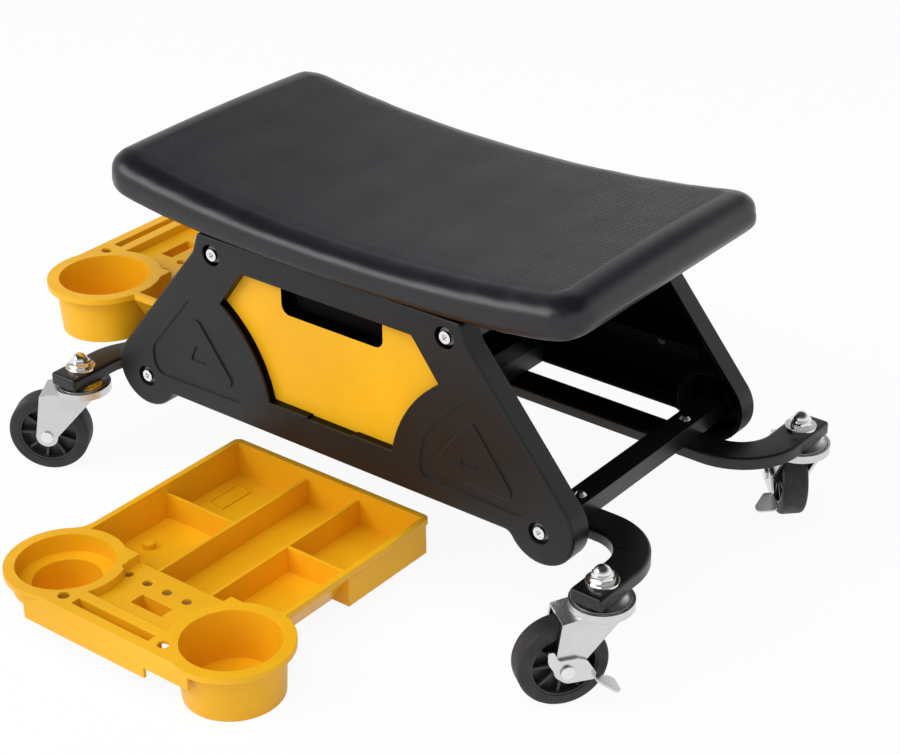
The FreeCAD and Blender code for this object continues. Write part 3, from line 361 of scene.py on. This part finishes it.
def vinyl_finish():
    """Grained vinyl: staggered rows of small pips in the field, a smooth satin border."""
    own = settings().cushion
    colour = tuple(own.cover_colour)
    finish, tree, shader = new_finish("seat_vinyl", colour, roughness=0.3)
    field = tree.nodes.new("ShaderNodeAttribute")
    field.attribute_name = "field"
    split = tree.nodes.new("ShaderNodeSeparateXYZ")
    tree.links.new(place_of(tree), split.inputs["Vector"])
    turns = math.pi / own.grain_pitch
    drift_size = 2.4
    drift = math_step(tree, "MULTIPLY", noise(tree, scale=90, detail=2), drift_size)
    along = math_step(tree, "MULTIPLY_ADD", split.outputs["X"], turns, drift)
    across = math_step(tree, "MULTIPLY", split.outputs["Y"], turns)
    first = math_step(tree, "SINE", math_step(tree, "ADD", along, across))
    second = math_step(tree, "SINE", math_step(tree, "SUBTRACT", along, across))
    pips = math_step(tree, "MULTIPLY", first, second)
    shown = math_step(tree, "MULTIPLY", pips, field.outputs["Fac"])
    fine = raise_surface(tree, noise(tree, scale=1400, detail=2), strength=0.08, distance=0.0001)
    relief = raise_surface(tree, shown, strength=0.6, distance=0.0003, under=fine)
    tree.links.new(relief, shader.inputs["Normal"])
    # Painted highlight and shade: the pips lighten the colour on their tops and darken it between them
    pip_painted_shade = 0.12
    cloud = math_step(tree, "MULTIPLY_ADD", shown, pip_painted_shade, noise(tree, scale=9, detail=3))
    clouds = tint(tree, cloud, scaled(colour, 0.85), scaled(colour, 1.18))
    tree.links.new(clouds, shader.inputs["Base Color"])
    wear = spread(tree, noise(tree, scale=22, detail=4), low=0.30, high=0.35)
    field_matt = 0.14
    matt = math_step(tree, "MULTIPLY_ADD", field.outputs["Fac"], field_matt, wear)
    tree.links.new(matt, shader.inputs["Roughness"])
    return finish


def eased_edge(tree, radius):
    """A normal that rounds crisp edges by a small radius, so that they catch the light."""
    ease = tree.nodes.new("ShaderNodeBevel")
    ease.samples = 6
    ease.inputs["Radius"].default_value = radius
    return ease.outputs["Normal"]


def moulded_finish(name, colour, roughness, gloss=0.5, edge=EASE):
    """Moulded plastic: a fine spark-eroded grain, faint flow clouds and handling marks."""
    finish, tree, shader = new_finish(name, colour, roughness)
    shader.inputs["Specular IOR Level"].default_value = gloss
    cloud_colour(tree, shader, colour, scale=7, detail=3, dark=0.93, light=1.06)
    marks = spread(tree, noise(tree, scale=30, detail=5), roughness - 0.04, roughness + 0.05)
    tree.links.new(marks, shader.inputs["Roughness"])
    grain = noise(tree, scale=1100, detail=2)
    grained = raise_surface(tree, grain, strength=0.08, distance=0.0001, under=eased_edge(tree, edge))
    tree.links.new(grained, shader.inputs["Normal"])
    return finish


def mixed(tree, share, first, second):
    """A colour between the output `first` and the colour `second`.

    The mix node has sockets of one name for each kind of data, so its colour ones go by number.
    """
    mix = tree.nodes.new("ShaderNodeMix")
    mix.data_type = "RGBA"
    share_in, first_in, second_in = mix.inputs[0], mix.inputs[6], mix.inputs[7]
    tree.links.new(share, share_in)
    tree.links.new(first, first_in)
    second_in.default_value = (*second, 1)
    return mix.outputs[2]


def both_hold(tree, first, second):
    """1 where both of two tests are 1."""
    return math_step(tree, "MULTIPLY", first, second)


def paint_inner_shade(finish, colour, shade_outward_limit, recesses=False):
    """Paints shade: the faces that look towards the middle of the seat, and the recesses too, get a
    dull near-black as painted shade.

    The painted shade is a metal's near-black colour, which leaves no gloss there, as deep shade would.
    """
    own = settings().plastic
    near_low, near_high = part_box("side_panel_near")
    outer_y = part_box("side_panel_far")[1].y
    middle_x, middle_y = (near_low.x + near_high.x) / 2, (near_low.y + outer_y) / 2
    tree = finish.node_tree
    shader = tree.nodes["Principled BSDF"]
    place = tree.nodes.new("ShaderNodeSeparateXYZ")
    tree.links.new(place_of(tree), place.inputs["Vector"])
    facing = tree.nodes.new("ShaderNodeSeparateXYZ")
    tree.links.new(tree.nodes["Place"].outputs["Normal"], facing.inputs["Vector"])
    offset = math_step(tree, "SUBTRACT", place.outputs["Y"], middle_y)
    outward = math_step(tree, "MULTIPLY", facing.outputs["Y"], math_step(tree, "SIGN", offset))
    # Painted shade: faces that look inwards past the limit are marked for the near-black
    painted_shade = math_step(tree, "LESS_THAN", outward, shade_outward_limit)
    if recesses:
        reach = math_step(tree, "ABSOLUTE", math_step(tree, "SUBTRACT", place.outputs["X"], middle_x))
        inner_y = outer_y - middle_y - own.shade_recess_depth
        deep = math_step(tree, "LESS_THAN", math_step(tree, "ABSOLUTE", offset), inner_y)
        near = math_step(tree, "LESS_THAN", reach, own.shade_recess_half)
        above = math_step(tree, "GREATER_THAN", place.outputs["Z"], own.shade_recess_low)
        below = math_step(tree, "LESS_THAN", place.outputs["Z"], own.shade_recess_high)
        in_shaded_place = both_hold(tree, both_hold(tree, deep, near), both_hold(tree, above, below))
        painted_shade = math_step(tree, "MAXIMUM", painted_shade, in_shaded_place)
    came = shader.inputs["Base Color"].links[0].from_socket
    # Painted shade: the marked faces get the near-black and full metal, so that they show no reflection
    tree.links.new(mixed(tree, painted_shade, came, colour), shader.inputs["Base Color"])
    tree.links.new(painted_shade, shader.inputs["Metallic"])


def paint_finish(name, colour, roughness=0.3):
    """Baked paint with a slight orange peel."""
    finish, tree, shader = new_finish(name, colour, roughness)
    eased = eased_edge(tree, EASE)
    peel = noise(tree, scale=260, detail=2)
    peeled = raise_surface(tree, peel, strength=0.08, distance=0.0002, under=eased)
    tree.links.new(peeled, shader.inputs["Normal"])
    wear = spread(tree, noise(tree, scale=24, detail=4), roughness - 0.03, roughness + 0.06)
    tree.links.new(wear, shader.inputs["Roughness"])
    cloud_colour(tree, shader, colour, scale=12, detail=2, dark=0.9, light=1.1)
    return finish


def plated_finish(name, colour, roughness, grain=0.06):
    """Plated steel: a fine grain and a little cloudiness."""
    finish, tree, shader = new_finish(name, colour, roughness, metallic=1.0)
    cloud_colour(tree, shader, colour, scale=60, detail=4, dark=0.95, light=1.04)
    wear = spread(tree, noise(tree, scale=60, detail=4), roughness - 0.03, roughness + 0.05)
    tree.links.new(wear, shader.inputs["Roughness"])
    eased = eased_edge(tree, EASE_PLATED)
    fine = noise(tree, scale=500, detail=2)
    grained = raise_surface(tree, fine, strength=grain, distance=0.00005, under=eased)
    tree.links.new(grained, shader.inputs["Normal"])
    return finish


def rubber_finish(name, colour):
    """Dull rubber with a fine grain."""
    finish, tree, shader = new_finish(name, colour, roughness=0.62)
    cloud_colour(tree, shader, colour, scale=40, detail=4, dark=0.85, light=1.25)
    wear = spread(tree, noise(tree, scale=90, detail=4), low=0.52, high=0.70)
    tree.links.new(wear, shader.inputs["Roughness"])
    grained = raise_surface(tree, noise(tree, scale=1300, detail=2), strength=0.18, distance=0.0001)
    tree.links.new(grained, shader.inputs["Normal"])
    return finish


def plywood_finish(name):
    """Raw plywood: pale brown grain, stretched along the seat."""
    dark, middling, light = (0.26, 0.16, 0.08), (0.36, 0.24, 0.13), (0.44, 0.31, 0.18)
    finish, tree, shader = new_finish(name, middling, roughness=0.65)
    slide = tree.nodes.new("ShaderNodeMapping")
    slide.inputs["Scale"].default_value = (3, 60, 60)
    tree.links.new(place_of(tree), slide.inputs["Vector"])
    grain = tree.nodes.new("ShaderNodeTexNoise")
    grain.inputs["Scale"].default_value = 4
    grain.inputs["Detail"].default_value = 6
    tree.links.new(slide.outputs["Vector"], grain.inputs["Vector"])
    tree.links.new(tint(tree, grain.outputs["Fac"], dark, light), shader.inputs["Base Color"])
    grained = raise_surface(tree, grain.outputs["Fac"], strength=0.2, distance=0.0003)
    tree.links.new(grained, shader.inputs["Normal"])
    return finish


# Operators

class CREEPER_OT_stage(bpy.types.Operator):
    """Floor, lamps, world and camera"""
    bl_idname = "creeper.stage"
    bl_label = "Studio"

    def execute(self, context):
        own = settings().stage
        deselect()
        bpy.ops.mesh.primitive_plane_add(size=own.floor_size, location=(0, 0, 0))
        floor = context.object
        floor.name = "studio_floor"
        paint(floor, self.floor_finish())
        self.set_world(context)
        self.lamp("top_lamp", TOP_PLACE, width=2.4, depth=2.4, power=own.top_power, in_gloss=False)
        self.lamp("key_lamp", KEY_PLACE, width=1.7, depth=0.74, power=own.key_power, in_gloss=True)
        self.lamp("rim_lamp", RIM_PLACE, width=1.2, depth=0.8, power=own.rim_power, in_gloss=False)
        self.set_camera(context, own.lens)
        return {"FINISHED"}

    def floor_finish(self):
        """White to the camera and to reflections, with the object's shadow kept."""
        finish = bpy.data.materials.new("floor_white")
        finish.use_nodes = True
        tree = finish.node_tree
        tree.nodes.clear()
        out = tree.nodes.new("ShaderNodeOutputMaterial")
        matt = tree.nodes.new("ShaderNodeBsdfDiffuse")
        matt.inputs["Color"].default_value = FLOOR_GREY
        glow = tree.nodes.new("ShaderNodeEmission")
        glow.inputs["Color"].default_value = WHITE
        rays = tree.nodes.new("ShaderNodeLightPath")
        seen = math_step(tree, "MAXIMUM", rays.outputs["Is Camera Ray"], rays.outputs["Is Glossy Ray"])
        share = math_step(tree, "MULTIPLY", seen, FLOOR_GLOW)
        mix = tree.nodes.new("ShaderNodeMixShader")
        matt_in, glow_in = mix.inputs[1], mix.inputs[2]
        tree.links.new(share, mix.inputs["Fac"])
        tree.links.new(matt.outputs["BSDF"], matt_in)
        tree.links.new(glow.outputs["Emission"], glow_in)
        tree.links.new(mix.outputs["Shader"], out.inputs["Surface"])
        return finish

    def set_world(self, context):
        """White to the camera. To all else it is bright at the horizon and dim overhead."""
        world = bpy.data.worlds.new("studio")
        world.use_nodes = True
        context.scene.world = world
        tree = world.node_tree
        sky = tree.nodes["Background"]
        sky.inputs["Color"].default_value = WHITE
        way = tree.nodes.new("ShaderNodeTexCoord")
        split = tree.nodes.new("ShaderNodeSeparateXYZ")
        tree.links.new(way.outputs["Generated"], split.inputs["Vector"])
        dim = spread(tree, split.outputs["Z"], low=0.98, high=0.05, from_low=0.22, from_high=0.76)
        rays = tree.nodes.new("ShaderNodeLightPath")
        strength = math_step(tree, "MAXIMUM", rays.outputs["Is Camera Ray"], dim)
        tree.links.new(strength, sky.inputs["Strength"])

    def lamp(self, name, place, width, depth, power, in_gloss):
        """An area lamp that looks at the middle of the studio."""
        deselect()
        bpy.ops.object.light_add(type="AREA", location=MIDDLE + place)
        lamp = bpy.context.object
        lamp.name = name
        lamp.data.shape = "RECTANGLE"
        lamp.data.size = width
        lamp.data.size_y = depth
        lamp.data.energy = power
        lamp.visible_glossy = in_gloss
        lamp.rotation_euler = (-place).to_track_quat("-Z", "Y").to_euler()

    def set_camera(self, context, lens):
        data = bpy.data.cameras.new("photo_camera")
        data.lens = lens
        data.sensor_width = SENSOR_WIDTH
        camera = bpy.data.objects.new("photo_camera", data)
        context.scene.collection.objects.link(camera)
        turn = Matrix((CAMERA_RIGHT, CAMERA_UP, -CAMERA_AHEAD)).transposed()
        camera.matrix_world = Matrix.Translation(CAMERA_PLACE) @ turn.to_4x4()
        context.scene.camera = camera


class CREEPER_OT_cushion(bpy.types.Operator):
    """Padded cushion with a grained field and a smooth rolled border"""
    bl_idname = "creeper.cushion"
    bl_label = "Cushion"

    def execute(self, context):
        own = settings().cushion
        piece = copy_of("seat_cushion", "seat_cover")
        remesh = piece.modifiers.new("Even", "REMESH")
        remesh.mode = "VOXEL"
        remesh.voxel_size = own.voxel
        bpy.ops.object.modifier_apply(modifier="Even")
        soften = piece.modifiers.new("Soften", "SMOOTH")
        soften.factor = SOFTEN_SHARE
        soften.iterations = SOFTEN_STEPS
        bpy.ops.object.modifier_apply(modifier="Soften")
        subdivide = piece.modifiers.new("Round", "SUBSURF")
        subdivide.levels = 1
        subdivide.render_levels = 1
        bpy.ops.object.modifier_apply(modifier="Round")
        self.round_border(piece, own)
        self.mark_field(piece, own)
        bpy.ops.object.shade_smooth()
        paint(piece, vinyl_finish())
        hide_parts("seat_cushion")
        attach(piece, "frame")
        return {"FINISHED"}

    def round_border(self, piece, own):
        """Lets the top swell in the middle and fall away softly towards the outline.

        The underside's and the top's heights are read along the cushion, in columns as wide as
        its mesh is fine.
        """
        low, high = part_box("seat_cushion")
        middle = (low + high) / 2
        half_l, half_w = (high.x - low.x) / 2, (high.y - low.y) / 2
        under, over = {}, {}
        mesh = piece.data
        spots = [tuple(vertex.co) for vertex in mesh.vertices]
        for x, y, z in spots:
            column = round((x - middle.x) / own.voxel)
            if abs(y - middle.y) < half_w / 2:
                under[column] = min(under.get(column, z), z)
                over[column] = max(over.get(column, z), z)
        first, last = min(under), max(under)
        places = []
        for x, y, z in spots:
            column = min(last, max(first, round((x - middle.x) / own.voxel)))
            thick = max(over[column] - under[column], own.voxel)
            share = min(1.0, max(0.0, (z - under[column]) / thick))
            past_x = abs(x - middle.x) - half_l + own.outline_corner
            past_y = abs(y - middle.y) - half_w + own.outline_corner
            corner = math.hypot(max(past_x, 0), max(past_y, 0)) + min(max(past_x, past_y), 0)
            inset = max(0.0, own.outline_corner - corner)
            fall = max(0.0, 1 - inset / own.border_fall_w) ** 2
            height = z - under[column]
            step_x, step_y, step_z = self.fill_lower_edge(own, past_x, past_y, inset, height)
            places.append(x + math.copysign(step_x, x - middle.x))
            places.append(y + math.copysign(step_y, y - middle.y))
            places.append(z - step_z + share * (own.swell - own.border_fall * fall))
        mesh.vertices.foreach_set("co", places)
        mesh.update()

    def fill_lower_edge(self, own, past_x, past_y, inset, height):
        """How far a point of the lower roll moves out and down, to make the roll squarer."""
        out, down = own.lower_roll - inset, own.lower_roll - height
        if out <= 0 or down <= 0:
            return 0.0, 0.0, 0.0
        reach = math.hypot(out, down)
        power = own.lower_roll_power
        grow = ((out / reach) ** power + (down / reach) ** power) ** (-1 / power) - 1
        if past_x > 0 and past_y > 0:
            share_x = past_x / math.hypot(past_x, past_y)
            share_y = past_y / math.hypot(past_x, past_y)
        else:
            share_x, share_y = (1.0, 0.0) if past_x > past_y else (0.0, 1.0)
        return out * grow * share_x, out * grow * share_y, down * grow

    def mark_field(self, piece, own):
        """Marks the grained field and lets it lie a little below its border."""
        low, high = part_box("seat_cushion")
        middle = (low + high) / 2
        half_l = (high.x - low.x) / 2 - own.border_end
        half_w = (high.y - low.y) / 2 - own.border_side
        mesh = piece.data
        shares = []
        places = []
        for vertex in mesh.vertices:
            past_x = abs(vertex.co.x - middle.x) - half_l + own.field_corner
            past_y = abs(vertex.co.y - middle.y) - half_w + own.field_corner
            outside = math.hypot(max(past_x, 0), max(past_y, 0)) - own.field_corner
            inside = min(1.0, max(0.0, 0.5 - outside / FIELD_FADE))
            if vertex.normal.z < FIELD_UP:
                inside = 0.0
            shares.append(inside)
            places.extend((vertex.co.x, vertex.co.y, vertex.co.z - own.field_sink * inside))
        mark = mesh.attributes.new("field", "FLOAT", "POINT")
        mark.data.foreach_set("value", shares)
        mesh.vertices.foreach_set("co", places)
        mesh.update()


class CREEPER_OT_seat_board(bpy.types.Operator):
    """Board under the cushion"""
    bl_idname = "creeper.seat_board"
    bl_label = "Seat board"

    def execute(self, context):
        dress("seat_board", plywood_finish("seat_board"))
        return {"FINISHED"}


class CREEPER_OT_side_panels(bpy.types.Operator):
    """Moulded side panels and the divider between the bays"""
    bl_idname = "creeper.side_panels"
    bl_label = "Side panels"

    def execute(self, context):
        own = settings().plastic
        colour = tuple(own.panel_colour)
        finish = moulded_finish("panel_plastic", colour, roughness=0.38, gloss=0.34, edge=0.0012)
        # The panels' inner sides and recesses are painted near-black as shade
        paint_inner_shade(finish, tuple(own.inner_shade_colour), PANEL_SHADE_LIMIT, recesses=True)
        for side in SIDES:
            dress("side_panel_" + side, finish)
        dress("centre_divider", finish)
        return {"FINISHED"}


class CREEPER_OT_window_inserts(bpy.types.Operator):
    """Coloured plates behind the side windows"""
    bl_idname = "creeper.window_inserts"
    bl_label = "Window inserts"

    def execute(self, context):
        own = settings().plastic
        finish = moulded_finish("insert_plastic", tuple(own.tray_colour), roughness=0.45, gloss=0.3)
        # The inserts' faces that look inwards are painted near-black as shade
        paint_inner_shade(finish, tuple(own.inner_shade_colour), INSERT_SHADE_LIMIT)
        for side in SIDES:
            dress("window_insert_" + side, finish)
        return {"FINISHED"}


class CREEPER_OT_rails(bpy.types.Operator):
    """Painted base rails and cross bars, and the ledges of the trays, in a dull near-black that is
    partly their own black and partly painted shade
    """
    bl_idname = "creeper.rails"
    bl_label = "Rails and bars"

    def execute(self, context):
        own = settings().metal
        finish = paint_finish("black_paint", tuple(own.paint_colour))
        # The ledges sit in shade under the seat: their dull near-black is partly painted shade
        inner = tuple(settings().plastic.inner_shade_colour)
        ledge = moulded_finish("ledge_shaded_plastic", inner, roughness=0.6, gloss=0.05)
        for side in SIDES:
            dress("base_rail_" + side, finish)
            dress("tray_rail_" + side, ledge)
        for end in ("left", "right"):
            dress("upper_crossbar_" + end, finish)
            dress("lower_crossbar_" + end, finish)
        for name in ("crossbar_plugs", "tray_rail_screws", "insert_screws"):
            dress(name, finish)
        return {"FINISHED"}


class CREEPER_OT_fasteners(bpy.types.Operator):
    """Bolts, screws, washers and domed nuts"""
    bl_idname = "creeper.fasteners"
    bl_label = "Fasteners"

    def execute(self, context):
        own = settings().metal
        bright = plated_finish("bright_steel", tuple(own.bolt_colour), roughness=0.16, grain=0.03)
        # The washers' dark colour is painted shade of the wells around the bolts
        dull = plated_finish("washer_shade_steel", tuple(own.washer_shade_colour), roughness=0.34, grain=0.03)
        for name in ("panel_bolts", "crossbar_screws", "seat_board_screws",
                     "divider_screws", "stem_washers", "acorn_nuts"):
            dress(name, bright)
        dress("panel_bolt_washers", dull)
        return {"FINISHED"}


class CREEPER_OT_forks(bpy.types.Operator):
    """Zinc-plated forks and stems, axles and swivel balls"""
    bl_idname = "creeper.forks"
    bl_label = "Forks"

    def execute(self, context):
        own = settings().metal
        zinc = plated_finish("zinc_plate", tuple(own.zinc_colour), roughness=0.27)
        bright = plated_finish("axle_steel", tuple(own.axle_colour), roughness=0.18, grain=0.03)
        for caster in CASTERS:
            dress("fork_" + caster, zinc)
            dress("stem_" + caster, zinc)
            dress("axle_" + caster, bright)
            dress("swivel_balls_" + caster, bright)
        return {"FINISHED"}


class CREEPER_OT_wheels(bpy.types.Operator):
    """Moulded hubs and tyres"""
    bl_idname = "creeper.wheels"
    bl_label = "Wheels"

    def execute(self, context):
        own = settings().plastic
        hub = moulded_finish("wheel_plastic", tuple(own.wheel_colour), roughness=0.36)
        tyre = rubber_finish("tyre_rubber", tuple(own.tyre_colour))
        for caster in CASTERS:
            dress("wheel_hub_" + caster, hub)
            dress("tyre_" + caster, tyre)
        return {"FINISHED"}


class CREEPER_OT_brakes(bpy.types.Operator):
    """Brake levers of the right-hand casters"""
    bl_idname = "creeper.brakes"
    bl_label = "Brake levers"

    def execute(self, context):
        own = settings().metal
        zinc = plated_finish("lever_zinc", scaled(tuple(own.zinc_colour), 1.05), roughness=0.22)
        for caster in ("near_right", "far_right"):
            dress("brake_lever_" + caster, zinc)
        return {"FINISHED"}


class CREEPER_OT_trays(bpy.types.Operator):
    """Moulded tool trays"""
    bl_idname = "creeper.trays"
    bl_label = "Tool trays"

    def execute(self, context):
        own = settings().plastic
        finish = moulded_finish("tray_plastic", tuple(own.tray_colour), roughness=0.40, gloss=0.33)
        for place in ("mounted", "standing"):
            dress("tray_" + place, finish)
        return {"FINISHED"}


OPERATORS = (
    CREEPER_OT_stage,
    CREEPER_OT_cushion,
    CREEPER_OT_seat_board,
    CREEPER_OT_side_panels,
    CREEPER_OT_window_inserts,
    CREEPER_OT_rails,
    CREEPER_OT_fasteners,
    CREEPER_OT_forks,
    CREEPER_OT_wheels,
    CREEPER_OT_brakes,
    CREEPER_OT_trays,
)


class CREEPER_PT_panel(bpy.types.Panel):
    """Lists the steps that make the creeper seat"""
    bl_idname = "CREEPER_PT_panel"
    bl_label = "Creeper seat"
    bl_space_type = "VIEW_3D"
    bl_region_type = "UI"
    bl_category = "Creeper seat"

    def draw(self, context):
        column = self.layout.column(align=True)
        for operator in OPERATORS:
            column.operator(operator.bl_idname)
        own = context.scene.creeper_seat
        for group in (own.cushion, own.plastic, own.metal, own.stage):
            part = self.layout.column()
            for name in group.__annotations__:
                part.prop(group, name)


CLASSES = (
    CREEPER_PG_cushion,
    CREEPER_PG_plastic,
    CREEPER_PG_metal,
    CREEPER_PG_stage,
    CREEPER_PG_seat,
    *OPERATORS,
    CREEPER_PT_panel,
)


def register():
    for made in CLASSES:
        bpy.utils.register_class(made)
    bpy.types.Scene.creeper_seat = PointerProperty(type=CREEPER_PG_seat)


def unregister():
    del bpy.types.Scene.creeper_seat
    for made in reversed(CLASSES):
        bpy.utils.unregister_class(made)


def main():
    register()
    bpy.context.scene.view_settings.view_transform = "Standard"
    bpy.ops.creeper.stage()
    bpy.ops.creeper.cushion()
    bpy.ops.creeper.seat_board()
    bpy.ops.creeper.side_panels()
    bpy.ops.creeper.window_inserts()
    bpy.ops.creeper.rails()
    bpy.ops.creeper.fasteners()
    bpy.ops.creeper.forks()
    bpy.ops.creeper.wheels()
    bpy.ops.creeper.brakes()
    bpy.ops.creeper.trays()
    deselect()


if __name__ == "__main__":
    main()
